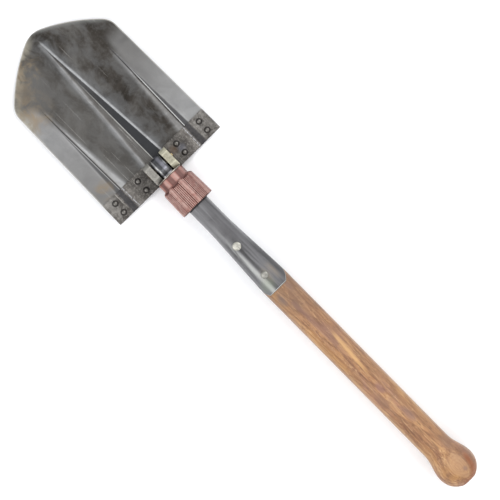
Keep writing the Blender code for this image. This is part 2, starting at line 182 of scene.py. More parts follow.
class Look:  # one material and the nodes that feed it
    def __init__(self, name, metallic=0.0, roughness=0.5, **more):
        self.material = bpy.data.materials.new(name)
        self.material.use_nodes = True
        self.tree = self.material.node_tree
        self.shader = self.tree.nodes["Principled BSDF"]
        self.shader.inputs["Metallic"].default_value = metallic
        self.shader.inputs["Roughness"].default_value = roughness
        for socket, value in more.items():
            self.shader.inputs[socket.replace("_", " ")].default_value = value
        self.place = self.node("ShaderNodeTexCoord", {}, {}, "Object")
        self.x, self.y, self.z = [self.node("ShaderNodeSeparateXYZ", {}, {0: self.place}, axis)
                                  for axis in range(3)]
        self.ahead = self.y - pivot.y
        self.colour = None  # the base colour so far

    def node(self, kind, settings, sockets, out=0):
        made = self.tree.nodes.new(kind)
        for key, value in settings.items():
            if key == "stops":
                self.setStops(made.color_ramp, value)
            else:
                setattr(made, key, value)
        for key, value in sockets.items():
            if isinstance(value, Value):
                self.tree.links.new(value.socket, made.inputs[key])
            else:
                made.inputs[key].default_value = value
        return Value(self, made.outputs[out])

    def maths(self, operation, first, second=0):
        return self.node("ShaderNodeMath", {"operation": operation}, {0: first, 1: second})

    def setStops(self, ramp, stops):
        while len(ramp.elements) < len(stops):
            ramp.elements.new(1)
        for element, (place, colour) in zip(ramp.elements, stops):
            element.position = place
            element.color = (*colour, 1)

    def feed(self, socket, value):
        self.tree.links.new(value.socket, self.shader.inputs[socket])

    def stretch(self, scale, shift=(0, 0, 0), turn=0):
        sockets = {"Vector": self.place, "Scale": scale, "Rotation": (0, 0, turn), "Location": shift}
        return self.node("ShaderNodeMapping", {}, sockets)

    def noise(self, scale, detail=4, roughness=0.55, distortion=0.0, at=None):
        sockets = {"Vector": at or self.place, "Scale": scale, "Detail": detail,
                   "Roughness": roughness, "Distortion": distortion}
        return self.node("ShaderNodeTexNoise", {"noise_dimensions": "3D"}, sockets)

    def grain(self, scale, detail, roughness, distortion, shift=(0, 0, 0), turn=0):  # a stretched noise
        return self.noise(1.0, detail, roughness, distortion, self.stretch(scale, shift, turn))

    def step(self, value, low, high):  # smooth step from 0 at low to 1 at high
        sockets = {0: value, 1: low, 2: high}
        return self.node("ShaderNodeMapRange", {"interpolation_type": "SMOOTHSTEP"}, sockets)

    def band(self, value, outer, inner):  # 1 where the value is near 0
        return self.step(abs(value), outer, inner)

    def spot(self, x, ahead, outer, inner):  # a round spot, at a distance ahead of the pin's axis
        return self.step(self.distance(self.x - x, self.ahead - ahead), outer, inner)

    def blend(self, factor, first, second):
        first, second = [c if isinstance(c, Value) else (*c, 1) for c in (first, second)]
        return self.node("ShaderNodeMix", {"data_type": "RGBA"}, {0: factor, 6: first, 7: second}, 2)

    def ramp(self, factor, stops):
        return self.node("ShaderNodeValToRGB", {"stops": stops}, {0: factor})

    def paint(self, mask, colour):  # lays a colour over the base colour so far
        self.colour = self.blend(mask, self.colour, colour)

    def tones(self, pattern, *layers):  # paints the highs or lows of one pattern, a layer for each
        for low, high, strength, colour in layers:
            self.paint(self.step(pattern, low, high) * strength, colour)

    def larger(self, first, second):
        return self.maths("MAXIMUM", first, second)

    def smaller(self, first, second):
        return self.maths("MINIMUM", first, second)

    def distance(self, first, second):
        return self.maths("SQRT", first ** 2 + second ** 2)

    def attribute(self, name):
        return self.node("ShaderNodeAttribute", {"attribute_name": name}, {}, 2)

    def scratches(self, turn, fine, shift, cover=0.72):  # thin bright lines along one direction
        lines = self.grain((fine, 9, 60), 2, 0.5, 0.2, shift, turn)
        patches = self.noise(30, 2, 0.5, 0.0, self.stretch((1, 1, 1), shift))
        return self.step(lines, cover, cover + 0.035) * self.step(patches, 0.46, 0.58)

    def done(self, roughness, height, strength, distance):  # feeds the base colour, roughness and bump
        self.feed("Base Color", self.colour)
        self.feed("Roughness", roughness)
        sockets = {"Strength": strength, "Distance": distance, "Height": height}
        self.feed("Normal", self.node("ShaderNodeBump", {}, sockets))
        return self.material


bladePlan = {
    "face": -0.0175, "thickness": 0.0018, "rearS": 0.0146,
    "tipRadius": 0.028, "tipTurn": math.radians(25), "archRadius": 0.2, "cornerBlend": 0.007,
    "frontHalfWidth": 0.0748, "rearHalfWidth": 0.0775, "sideFrontFromTip": 0.053, "tipFlat": 0.0001,
    "centreStartFromTip": 0.0095, "centreHalfWidth": 0.0129, "centreDepth": 0.0052,
    "stripFrontY": 0.0144, "sideStartY": 0.134, "sideStartX": 0.0517,
    "sideInnerX": 0.0399, "sideBottomX": 0.0489, "sideOuterX": 0.0575, "sideDepth": 0.004,
    "sideKeys": ("sideInnerX", "sideBottomX", "sideOuterX"),
    "outerSlope": 0.07, "tipCurl": 0.0012, "curlLength": 0.05, "dents": 0.00016,
    "crestSoft": 0.0016, "keelSoft": 0.0012, "channelSoft": 0.0014,
    "edgeThickness": 0.0007, "edgeLength": 0.005,
}


def sideHalfWidth(y):
    plan = bladePlan
    front = tipY - plan["sideFrontFromTip"]
    return mix(plan["frontHalfWidth"], plan["rearHalfWidth"], (front - y) / (front + plan["rearS"]))


def halfWidth(y):
    plan = bladePlan
    behind = tipY - y
    nose = plan["tipRadius"] * (1 - math.cos(plan["tipTurn"]))
    if behind <= nose:
        return math.sqrt(max(0, plan["tipRadius"] ** 2 - (plan["tipRadius"] - behind) ** 2))
    centreX = (plan["tipRadius"] - plan["archRadius"]) * math.sin(plan["tipTurn"])
    centreBehind = nose + plan["archRadius"] * math.cos(plan["tipTurn"])
    arch = centreX + math.sqrt(plan["archRadius"] ** 2 - (centreBehind - behind) ** 2)
    blend = plan["cornerBlend"]
    overlap = max(blend - abs(arch - sideHalfWidth(y)), 0) / blend
    return min(arch, sideHalfWidth(y)) - overlap * overlap * blend / 4


def centreHalfWidth(y):
    start = tipY - bladePlan["centreStartFromTip"]
    return max(0.0004, bladePlan["centreHalfWidth"] * (start - y) / (start - bladePlan["stripFrontY"]))


def sideChannel(y):
    plan = bladePlan
    share = (plan["sideStartY"] - y) / (plan["sideStartY"] + plan["rearS"])
    if share <= 0:
        return plan["sideStartX"] - 0.0001, plan["sideStartX"], plan["sideStartX"] + 0.0001, 0
    edges = [mix(plan["sideStartX"], plan[key], share) for key in plan["sideKeys"]]
    return *edges, share


def bladeHeight(x, y):  # the front face, from the pin's axis, with every crease rounded
    plan = bladePlan
    inner, bottom, outer, share = sideChannel(y)
    centre = centreHalfWidth(y)
    across = abs(x)
    slope = plan["centreDepth"] / plan["centreHalfWidth"]
    height = plan["face"] - slope * softRamp(centre - across, min(plan["crestSoft"], centre))
    if across < plan["keelSoft"]:
        height += slope * (plan["keelSoft"] - across) ** 2 / (2 * plan["keelSoft"])
    depth = plan["sideDepth"] * share
    if depth > 0:
        soft = min(plan["channelSoft"], (outer - inner) * 0.2)
        down = depth / (bottom - inner)
        up = depth / (outer - bottom)
        lift = plan["outerSlope"] * smoothStep(share, 0, 0.06)
        height -= down * softRamp(across - inner, soft)
        height += (down + up) * softRamp(across - bottom, soft * 0.7)
        height += (lift - up) * softRamp(across - outer, soft)
    curl = clamp((y - tipY + plan["curlLength"]) / plan["curlLength"])
    waves = math.sin(x * 61 + y * 37 + 1.3) * math.sin(y * 53 - x * 29)
    waves += 0.6 * math.sin(x * 140 + 2) * math.sin(y * 117)
    quiet = smoothStep(y, plan["stripFrontY"] + 0.002, 0.05)
    return height + plan["tipCurl"] * curl * curl + waves * plan["dents"] * quiet


def bladeColumns(y, steps):
    inner, bottom, outer, _ = sideChannel(y)
    edge = halfWidth(y)
    centre = min(centreHalfWidth(y), edge / 2)
    squeeze = (edge - centre) / (sideHalfWidth(y) - centre)
    creases = [0, centre, *[mix(centre, x, squeeze) for x in (inner, bottom, outer)], edge]
    columns = [0]
    for low, high, count in zip(creases, creases[1:], steps):
        columns += [mix(low, high, k / count) for k in range(1, count + 1)]
    columns[-2] = columns[-1] - min(0.0007, (columns[-1] - columns[-3]) / 3)
    return columns


def edgeDistance(x, y):
    small = 0.0004
    near = min(y, tipY - 2 * small)
    slope = (halfWidth(near - small) - halfWidth(near + small)) / (2 * small)
    side = (halfWidth(near) - abs(x)) / math.sqrt(1 + slope * slope)
    return min(side, 0.02)


def bladeSheet(rows, columnsAt, lift, thicknessAt):
    bm = bmesh.new()
    wide = len(columnsAt(rows[-1])) - 1
    deep = len(rows) - 1
    bmesh.ops.create_grid(bm, x_segments=wide, y_segments=deep, size=1)
    gap = bm.verts.layers.float.new("edgeGap")
    for corner in bm.verts:
        column = round((corner.co.x + 1) / 2 * wide)
        y = rows[round((1 - corner.co.y) / 2 * deep)]
        x = columnsAt(y)[column]
        corner[gap] = edgeDistance(x, y)
        corner.co = (x, pivot.y + y, pivot.z + bladeHeight(x, y) + lift)
    outward(bm)
    if sum(face.normal.z for face in bm.faces) < 0:
        bmesh.ops.reverse_faces(bm, faces=bm.faces)
    for corner in grownCorners(bm):
        corner.co.z -= thicknessAt(corner.co.x, corner.co.y - pivot.y)
    bmesh.ops.remove_doubles(bm, verts=bm.verts, dist=1e-6)
    return bm


def bladeThickness(x, y):
    plan = bladePlan
    nearTip = smoothStep(y, tipY - 0.062, tipY - 0.05)
    nearEdge = 1 - smoothStep(edgeDistance(x, y), 0, plan["edgeLength"])
    return mix(plan["thickness"], plan["edgeThickness"], nearTip * nearEdge)


def makeBlade(material):
    steps = (12, 14, 9, 9, 12)
    tipLength = bladePlan["sideFrontFromTip"] + 0.005
    tipSteps, bodySteps = 44, 66
    first = 2 * bladePlan["tipFlat"]
    shares = [(k / tipSteps) ** 1.8 for k in range(tipSteps + 1)]  # closer together towards the tip
    rows = [tipY] + [tipY - first - (tipLength - first) * share for share in shares]
    rows += [mix(rows[-1], -bladePlan["rearS"], k / bodySteps) for k in range(1, bodySteps + 1)]

    def columns(y):
        right = bladeColumns(min(y, tipY - bladePlan["tipFlat"]), steps)
        return [-x for x in reversed(right[1:])] + right

    bm = bladeSheet(rows, columns, 0, bladeThickness)
    bevelSharp(bm, 0.0003, 2, 55)
    finish("bladeSheet", bm, "blade", ["blade"], material, 30)


def sideLines(look):  # the side channel's inner edge, bottom and outer edge, as shader values of y
    plan = bladePlan
    share = (plan["sideStartY"] - look.ahead) / (plan["sideStartY"] + plan["rearS"])
    return share, *[mix(plan["sideStartX"], plan[key], share) for key in plan["sideKeys"]]


def bladeSteel():
    look = Look("bladeSteel", metallic=0.85, roughness=0.42)
    share, inner, bottom, outer = sideLines(look)
    across = abs(look.x)
    side = look.step(look.x, -0.001, 0.001)  # 0 on the left half, 1 on the right
    started = look.step(share, -0.03, 0.05)
    blotch = look.noise(17, 5, 0.6, 0.7)
    cloud = look.noise(60, 5, 0.62, 0.5, look.stretch((1, 0.7, 1), (2, 5, 1)))
    fine = look.noise(330, 4, 0.65)
    look.colour = look.ramp(blotch, [(0.38, (0.02, 0.017, 0.014)), (0.5, (0.043, 0.038, 0.033)),
                                     (0.62, (0.1, 0.096, 0.09))])
    look.tones(cloud, (0.42, 0.62, 0.5, (0.112, 0.112, 0.112)), (0.48, 0.3, 0.5, (0.026, 0.021, 0.017)))
    look.tones(fine, (0.48, 0.78, 0.25, (0.13, 0.125, 0.115)))
    # painted light: the left half of the face painted lighter than the right
    look.tones(look.x, (0.012, -0.03, 0.5, (0.11, 0.106, 0.1)))
    # the outer panels, bent up towards the light: a painted reflection, partly rubbed pale, duller at the
    # right front and the left rear
    fan = look.step(across - outer - 0.16 * (look.ahead - 0.12), -0.004, 0.006)
    pale = look.step(across - outer, -0.001, 0.0006) * look.step(share, -0.14, 0.01) * fan
    paleTone = look.noise(34, 5, 0.6, 0.5)
    paleColour = look.ramp(paleTone, [(0.3, (0.195, 0.195, 0.196)), (0.7, (0.3, 0.3, 0.298))])
    towardsRear = look.step(look.ahead, 0.135, 0.01)
    dull = side * (1 - towardsRear) * 0.75 + (1 - side) * towardsRear * 0.6
    paleColour = look.blend(dull, paleColour, (0.115, 0.111, 0.106))
    look.paint(pale * 0.92, paleColour)
    # creases: painted highlights along their crests and keel, painted shade on their walls and in their
    # corners
    start = tipY - bladePlan["centreStartFromTip"]
    centre = (start - look.ahead) * (bladePlan["centreHalfWidth"] / (start - bladePlan["stripFrontY"]))
    inCentre = look.step(centre, 0.0, 0.0006)
    crestSheenBreakup = 0.62 + look.step(cloud, 0.3, 0.62) * 0.38
    leftCrest = look.band(look.x + centre + 0.0006, 0.0042, 0.0004) * (1 - side)
    rightCrest = look.band(look.x - centre - 0.0004, 0.0022, 0.0003) * side
    innerCrest = look.step(across - inner, -0.0045, 0.0006) * look.step(bottom - across, 0.0002, 0.0022)
    innerCrest = innerCrest * started * (0.62 - side * 0.27)
    outerCrest = look.band(across - outer, 0.0016, 0.0002) * started
    crest = look.larger(look.larger(leftCrest * 0.4, rightCrest) * inCentre, innerCrest)
    crest = look.larger(crest, outerCrest * 0.18)
    # a painted glow of light inside the centre channel along its crests
    glow = look.step(across - centre, 0.011, 0.0) * look.step(across - centre, -0.0015, 0.0) * inCentre
    look.paint(glow * crestSheenBreakup * (0.2 + side * 0.22), (0.2, 0.208, 0.218))
    look.paint(crest * crestSheenBreakup * 0.85, (0.31, 0.315, 0.32))
    # painted shade on the walls of the centre channel, darkest on the right wall
    rightWall = look.step(centre - look.x, 0.0002, 0.0012) * look.step(look.x, -0.0002, 0.0004) * inCentre
    leftWall = look.step(centre + look.x, 0.001, 0.004) * look.step(look.x, 0.0002, -0.0003) * inCentre
    deepens = look.step(look.ahead, 0.165, 0.06)
    look.paint(rightWall * (0.6 + deepens * 0.36), (0.018, 0.019, 0.021))
    look.paint(leftWall * 0.55, (0.06, 0.058, 0.056))
    lines = look.grain((2600, 14, 100), 3, 0.6, 0.2)
    look.paint(leftWall * look.step(lines, 0.5, 0.66) * 0.6, (0.024, 0.023, 0.022))
    # a painted highlight along the centre channel's keel line
    keel = look.band(look.x + 0.0002, 0.00075, 0.0001) * look.step(look.ahead, 0.15, 0.06)
    look.paint(keel * 0.75, (0.42, 0.42, 0.4))
    # painted shade on the side channels' outer walls
    outerWall = look.step(across - bottom, -0.0007, 0.0003) * look.step(outer - across, -0.0014, 0.002)
    look.paint(outerWall * started * 0.85, (0.048, 0.049, 0.052))
    # a painted highlight just beyond the side channels' bottoms
    lit = look.band(across - bottom - 0.0011, 0.0008, 0.0001) * look.step(look.ahead, 0.115, 0.075)
    look.paint(lit * started * (0.35 + side * 0.45), (0.4, 0.4, 0.39))
    # painted shade in the side channels' bottoms
    gutter = look.band(across - bottom, 0.0007, 0.0001) * started
    look.paint(gutter * 0.85, (0.012, 0.012, 0.013))
    # rust and earth stains
    rustNoise = look.noise(48, 5, 0.65, 0.8)
    frontLeft = look.spot(-0.064, 0.142, 0.034, 0.004)
    frontEdge = look.step(rustNoise, 0.46, 0.6) * look.step(look.x, -0.01, -0.045)
    tipLeft = look.spot(-0.034, 0.18, 0.03, 0.004)
    rearLeft = look.spot(-0.064, 0.026, 0.017, 0.003)
    rust = (frontLeft + tipLeft + rearLeft) * look.step(rustNoise, 0.4, 0.66)
    look.paint(rust * 0.68, (0.215, 0.155, 0.085))
    edge = look.attribute("edgeGap")
    dust = look.step(look.x, 0.006, -0.02) * look.step(edge, 0.012, 0.001)
    dust = dust * look.step(look.ahead, 0.118, 0.135) * look.step(cloud, 0.3, 0.58)
    look.paint(dust * 0.72, (0.3, 0.275, 0.215))
    look.paint(dust * frontEdge * 0.55, (0.105, 0.07, 0.042))
    film = look.step(edge, 0.006, 0.0005) * look.step(look.x, -0.014, 0.01)
    film = film * look.step(look.ahead, 0.15, 0.165)
    look.paint(film * 0.45, (0.22, 0.225, 0.215))
    # scratches, and the bare edge all round
    scuffs = look.larger(look.scratches(0.5, 900, (0.3, 0.1, 0)), look.scratches(-0.9, 1100, (1.7, 0.4, 0)))
    scuffs = look.larger(scuffs, look.scratches(1.3, 1000, (4.1, 2.4, 0), 0.7))
    look.paint(scuffs * 0.32, (0.36, 0.35, 0.33))
    worn = look.step(edge + (fine - 0.5) * 0.001, 0.0016, 0.0004)
    look.paint(worn * 0.7, (0.4, 0.39, 0.36))
    look.feed("Metallic", 0.85 - rust * 0.55 - dust * 0.4)
    roughness = 0.43 + blotch * 0.16 + rust * 0.25 - scuffs * 0.08 - crest * 0.08
    height = look.noise(700, 3, 0.6) * 0.4 + look.noise(90, 3, 0.5) * 0.9 + scuffs * -0.4
    return look.done(roughness, height, 0.3, 0.0004)


bracketPlan = {
    "gap": 0.00012, "strip": 0.0016, "lugInner": 0.0086, "lugOuter": 0.0173,
    "lugHalfLength": 0.0127, "lugRadius": 0.013, "lugTop": 0.0105, "lugEdge": 0.0006,
}


def makeBracket(side, sign, material):
    plan = bracketPlan
    rows = [mix(bladePlan["stripFrontY"], -bladePlan["rearS"], k / 14) for k in range(15)]

    def columns(y):
        start = plan["lugOuter"] - 0.0003
        found = [start] + [x for x in bladeColumns(y, (4, 10, 9, 9, 10)) if x > start + 0.001]
        return [sign * x for x in found]

    bm = bladeSheet(rows, columns, plan["gap"] + plan["strip"], lambda x, y: plan["strip"])
    bevelSharp(bm, 0.0003, 2, 55)
    low = math.acos(plan["lugHalfLength"] / plan["lugRadius"])
    high = math.asin(plan["lugTop"] / plan["lugRadius"])
    front = arcPoints(plan["lugRadius"], low, high, 10)
    foot = bladePlan["face"] + plan["gap"]
    outline = [(plan["lugHalfLength"], foot), *front, *[(-y, z) for y, z in reversed(front)],
               (-plan["lugHalfLength"], foot)]
    lug = extrudedAcross(outline, sign * plan["lugInner"], sign * plan["lugOuter"])
    outward(lug)
    bevelSharp(lug, plan["lugEdge"], 3, 50)
    absorb(bm, lug)
    finish(f"bracket{side.title()}", bm, "blade", [f"hinge_bracket_{side}"], material, 35)


rivetPlan = {
    "xs": (0.0298, 0.065), "fromRear": (0.0077, 0.021), "shaft": 0.0022,
    "head": 0.0029, "height": 0.0017, "backHeight": 0.0011,
}


def fromRivet(look):  # the distance to the axis of the nearest blade rivet
    across = look.smaller(*[abs(abs(look.x) - x) for x in rivetPlan["xs"]])
    along = look.smaller(*[abs(look.ahead + bladePlan["rearS"] - y) for y in rivetPlan["fromRear"]])
    return look.distance(across, along)


def bracketSteel():
    look = Look("bracketSteel", metallic=0.85, roughness=0.5)
    mottle = look.noise(75, 6, 0.72, 0.6)
    speck = look.noise(420, 4, 0.7, 0.4)
    look.colour = look.ramp(mottle, [(0.34, (0.052, 0.047, 0.043)), (0.5, (0.09, 0.083, 0.076)),
                                     (0.68, (0.165, 0.155, 0.142))])
    look.tones(speck, (0.5, 0.66, 0.45, (0.26, 0.245, 0.225)), (0.44, 0.3, 0.45, (0.03, 0.027, 0.025)))
    across = abs(look.x)
    worn = look.step(across, 0.04, 0.066) * look.step(mottle, 0.4, 0.62)
    look.paint(worn * 0.45, (0.26, 0.25, 0.235))
    scuffs = look.larger(look.scratches(0.9, 1400, (0.6, 0.2, 0), 0.66),
                         look.scratches(-0.5, 1200, (2.2, 1.4, 0), 0.66))
    look.paint(scuffs * 0.5, (0.38, 0.365, 0.34))
    # heat tints beside the right lug, painted shade on the bend down into the side channel, and a painted
    # highlight beside its bottom
    look.paint(look.spot(0.031, -0.001, 0.0075, 0.001) * 0.45, (0.125, 0.13, 0.165))
    look.paint(look.spot(0.023, 0.004, 0.0075, 0.001) * 0.5, (0.13, 0.08, 0.05))
    bottom, outer = sideLines(look)[2:]
    wall = look.step(across - bottom, -0.0004, 0.001) * look.step(outer - across, -0.0004, 0.0016)
    look.paint(wall * 0.8, (0.026, 0.026, 0.03))
    ridge = look.band(across - bottom + 0.0018, 0.0011, 0.0002) * look.step(speck, 0.4, 0.56)
    look.paint(ridge * 0.5, (0.36, 0.37, 0.4))
    # painted shade in a ring round the rivet heads
    ring = look.step(fromRivet(look), rivetPlan["head"] + 0.0014, rivetPlan["head"] + 0.0003)
    look.paint(ring * 0.85, (0.014, 0.013, 0.012))
    raised = look.step(look.z, pivot.z - 0.012, pivot.z - 0.004)  # the lugs, rubbed bare by the nut
    grain = look.noise(520, 5, 0.72, 0.3)
    # painted light: the right lug lighter and yellower than the left, and the lugs' rounded ends painted
    # paler against their shade
    bareShadedLeft = look.ramp(grain, [(0.3, (0.16, 0.152, 0.138)), (0.7, (0.29, 0.28, 0.255))])
    bareLitRight = look.ramp(grain, [(0.3, (0.215, 0.2, 0.15)), (0.7, (0.41, 0.392, 0.31))])
    side = look.step(look.x, -0.001, 0.001)
    rounded = look.band(look.ahead, 0.0048, 0.01)
    endLightColour = look.blend(side, (0.34, 0.33, 0.3), (0.62, 0.6, 0.47))
    look.paint(raised, look.blend(rounded, look.blend(side, bareShadedLeft, bareLitRight), endLightColour))
    return look.done(0.42 + mottle * 0.22, mottle * 0.7 + speck * 0.5 - scuffs * 0.4, 0.4, 0.0004)


def dome(radius, height, seat, steps=7):  # (radius, z) from the rim to the crown
    turns = [math.pi / 2 * k / steps for k in range(steps + 1)]
    rim = [(radius * 0.96, seat), (radius, seat + height * 0.12)]
    crown = [(radius * math.cos(t) ** 0.9, seat + height * (0.2 + 0.8 * math.sin(t))) for t in turns[1:-1]]
    return rim + crown + [(0, seat + height)]


def rivetMesh(shaft, top, bottom, place, columns=32):
    upper = dome(*top)
    lower = [(radius, -z) for radius, z in dome(bottom[0], bottom[1], -bottom[2])]
    outline = [*reversed(upper), (shaft, top[2]), (shaft, bottom[2]), *lower]
    bm = spun([(radius, 0, z) for radius, z in outline], False, (0, 0, 0), (0, 0, 1), columns)
    bmesh.ops.transform(bm, matrix=place, verts=bm.verts)
    return bm


def makeBladeRivets(material):
    plan = rivetPlan
    topSeat = bracketPlan["gap"] + bracketPlan["strip"] - 0.0001
    for side, sign in (("left", -1), ("right", 1)):
        spots = [(x, fromRear) for x in plan["xs"] for fromRear in plan["fromRear"]]
        for count, (x, fromRear) in enumerate(spots, 1):
            y = fromRear - bladePlan["rearS"]
            tilt = -sign * math.atan(bladePlan["outerSlope"]) if x > bladePlan["sideOuterX"] else 0
            height = pivot.z + bladeHeight(x, y)
            place = Matrix.Translation((sign * x, pivot.y + y, height)) @ Matrix.Rotation(tilt, 4, "Y")
            bm = rivetMesh(plan["shaft"], (plan["head"], plan["height"], topSeat),
                           (plan["head"], plan["backHeight"], -bladePlan["thickness"] + 0.0001), place)
            finish(f"bladeRivet{side.title()}{count}", bm, "blade", [f"blade_rivet_{side}_{count}"],
                   material, 50)


def rivetSteel():
    look = Look("rivetSteel", metallic=0.9, roughness=0.38)
    # painted light: each dome lighter at its crown, dark at its rim
    crown = look.step(fromRivet(look) + (look.noise(700, 3, 0.6) - 0.5) * 0.001, 0.003, 0.0006)
    look.colour = look.blend(crown, (0.036, 0.033, 0.03), (0.18, 0.17, 0.157))
    return look.done(0.5 - crown * 0.16, look.noise(900, 3, 0.6), 0.3, 0.0003)


pinPlan = {"radius": 0.004, "head": 0.0052, "reach": 0.0174, "height": 0.0012}


def makePin(material):
    plan = pinPlan
    place = Matrix.Translation(pivot) @ Matrix.Rotation(math.pi / 2, 4, "Y")
    bm = rivetMesh(plan["radius"], (plan["head"], plan["height"], plan["reach"]),
                   (plan["head"], plan["height"], -plan["reach"]), place, 40)
    finish("hingePin", bm, "blade", ["hinge_pin"], material, 50)


def pinMetal():
    look = Look("pinMetal", metallic=0.9, roughness=0.42)
    stain = look.noise(420, 5, 0.65, 0.5)
    look.colour = look.ramp(stain, [(0.3, (0.06, 0.05, 0.04)), (0.7, (0.15, 0.125, 0.095))])
    # a painted highlight on the right pin head
    spot = look.band(look.ahead - 0.0008, 0.0018, 0.001) * look.step(look.x, 0.01, 0.012)
    look.paint(spot * 0.9, (0.62, 0.48, 0.26))
    return look.done(0.34 + stain * 0.25, stain, 0.3, 0.0003)


tonguePlan = {
    "eye": 0.0122, "half": 0.007, "neck": 0.0074, "edge": 0.0019, "neckEndS": 0.0155,
    "thread": 0.01, "root": 0.0092, "pitch": 0.004, "shankS": 0.015, "plugS": 0.0466,
    "plug": 0.0112, "endS": 0.075,
}


def makeTongue(material):
    plan = tonguePlan
    rise = pivot.z - axisZ
    start = math.pi - math.asin((plan["neck"] - rise) / plan["eye"])
    end = -math.pi + math.asin((plan["neck"] + rise) / plan["eye"])
    outline = arcPoints(plan["eye"], start, end, 56)
    outline += [(-plan["neckEndS"], -plan["neck"] - rise), (-plan["neckEndS"], plan["neck"] - rise)]
    bm = extrudedAcross(outline, -plan["half"], plan["half"])
    rims = [e for e in bm.edges if any(len(f.verts) > 4 for f in e.link_faces)]
    bmesh.ops.bevel(bm, geom=rims, offset=plan["edge"], offset_type="OFFSET", affect="EDGES",
                    segments=4, profile=0.5, material=-1)
    threadRows = 96
    ends = [(plan["shankS"], 0), (plan["shankS"], plan["root"] - 0.0004)]
    rear = [(plan["plugS"], plan["plug"]), (plan["endS"], plan["plug"]), (plan["endS"], 0)]

    def place(turn, row):
        if row < len(ends):
            return ends[row]
        if row > threadRows + len(ends):
            return rear[row - threadRows - len(ends) - 1]
        s = mix(plan["shankS"] + 0.0003, plan["plugS"] - 0.0001, (row - len(ends)) / threadRows)
        wave = abs((s / plan["pitch"] - turn / math.tau) % 1 * 2 - 1)
        crest = smoothStep(wave, 0.25, 0.75) * smoothStep(s, plan["shankS"], plan["shankS"] + 0.0015)
        return s, mix(plan["root"], plan["thread"], crest)

    absorb(bm, wrapped(64, threadRows + len(ends) + len(rear), place))
    finish("hingeTongue", bm, "handle", ["hinge_tongue"], material, 40)


def tongueSteel():
    look = Look("tongueSteel", metallic=0.9, roughness=0.34)
    streak = look.grain((900, 60, 300), 4, 0.6, 0.2)
    look.colour = look.ramp(streak, [(0.3, (0.05, 0.052, 0.056)), (0.7, (0.125, 0.128, 0.135))])
    # painted highlights: a bright lengthwise streak on the left and a bluish sheen on the right, painted
    # lighter on the curved neck
    rubbedAndSheen = look.band(look.x + 0.0048, 0.0011, 0.0003)
    look.paint(rubbedAndSheen * 0.8, (0.46, 0.46, 0.45))
    sheen = look.band(look.x - 0.0026, 0.003, 0.0008)
    look.paint(sheen * 0.6, (0.3, 0.3, 0.345))
    curved = look.step(look.ahead, -0.0055, -0.0085) * look.step(look.ahead, -0.0155, -0.014)
    lines = look.larger(rubbedAndSheen, sheen * 0.7)
    look.paint(curved * 0.85, look.blend(lines, (0.19, 0.19, 0.2), (0.52, 0.52, 0.54)))
    return look.done(0.28 + streak * 0.16 + curved * 0.25, streak, 0.25, 0.0003)


washerPlan = {"frontS": 0.0132, "rearS": 0.0144, "inner": 0.0104, "outer": 0.0168}


def makeWasher(material):
    frontS, rearS, inner, outer = washerPlan.values()
    outline = [(frontS, inner), (frontS, outer), (rearS, outer), (rearS, inner)]
    places = [(0, pivot.y - s, axisZ + radius) for s, radius in outline]
    bm = spun(places, True, (0, pivot.y, axisZ), (0, 1, 0), 96)
    outward(bm)
    bevelSharp(bm, 0.0002, 2, 50)
    finish("thrustWasher", bm, "washer", ["thrust_washer"], material, 40)


def bareSteel():
    look = Look("bareSteel", metallic=0.9, roughness=0.4)
    stain = look.noise(240, 5, 0.65, 0.5)
    look.colour = look.ramp(stain, [(0.3, (0.145, 0.115, 0.095)), (0.7, (0.4, 0.365, 0.32))])
    return look.done(0.32 + stain * 0.25, stain, 0.3, 0.0003)


insertPlan = {"frontS": 0.015, "rearS": 0.033, "bore": 0.0105, "outer": 0.0132, "threadDepth": 0.0001}


def makeInsert(material):
    front, rear, bore, outer, depth = insertPlan.values()
    rows = 72

    def place(turn, row):
        if row > rows:
            return [(rear, outer), (front, outer), (front, bore)][row - rows - 1]
        s = mix(front, rear, row / rows)
        wave = abs((s / tonguePlan["pitch"] - turn / math.tau + 0.5) % 1 * 2 - 1)
        fade = smoothStep(s, front, front + 0.001)
        return s, bore - depth * smoothStep(wave, 0.3, 0.7) * fade

    bm = wrapped(64, rows + 3, place)
    finish("nutInsert", bm, "nut", ["nut_insert"], material, 40)


def castMetal():
    look = Look("castMetal", metallic=0.85, roughness=0.5)
    grain = look.noise(650, 5, 0.7)
    look.colour = look.ramp(grain, [(0.3, (0.28, 0.275, 0.26)), (0.7, (0.5, 0.49, 0.46))])
    return look.done(0.42 + grain * 0.2, grain, 0.35, 0.0003)


nutPlan = {
    "frontS": 0.0147, "rearS": 0.0584, "bore": 0.0135, "neck": 0.01735, "neckEndS": 0.0246,
    "gripStartS": 0.0266, "gripFront": 0.0205, "gripRear": 0.0215, "edge": 0.0007, "columns": 576,
    "lobes": 8, "lobeTurn": math.radians(13), "neckRecess": 0.001, "gripRecess": 0.00018,
    "facet": 0.22, "crown": 0.5, "deepGroove": 0.0011, "fineGroove": 0.0006, "fineRibs": 4,
    "frontSetback": 0.0016, "ribSharpness": 1.35, "facetSag": 0.0001,
}


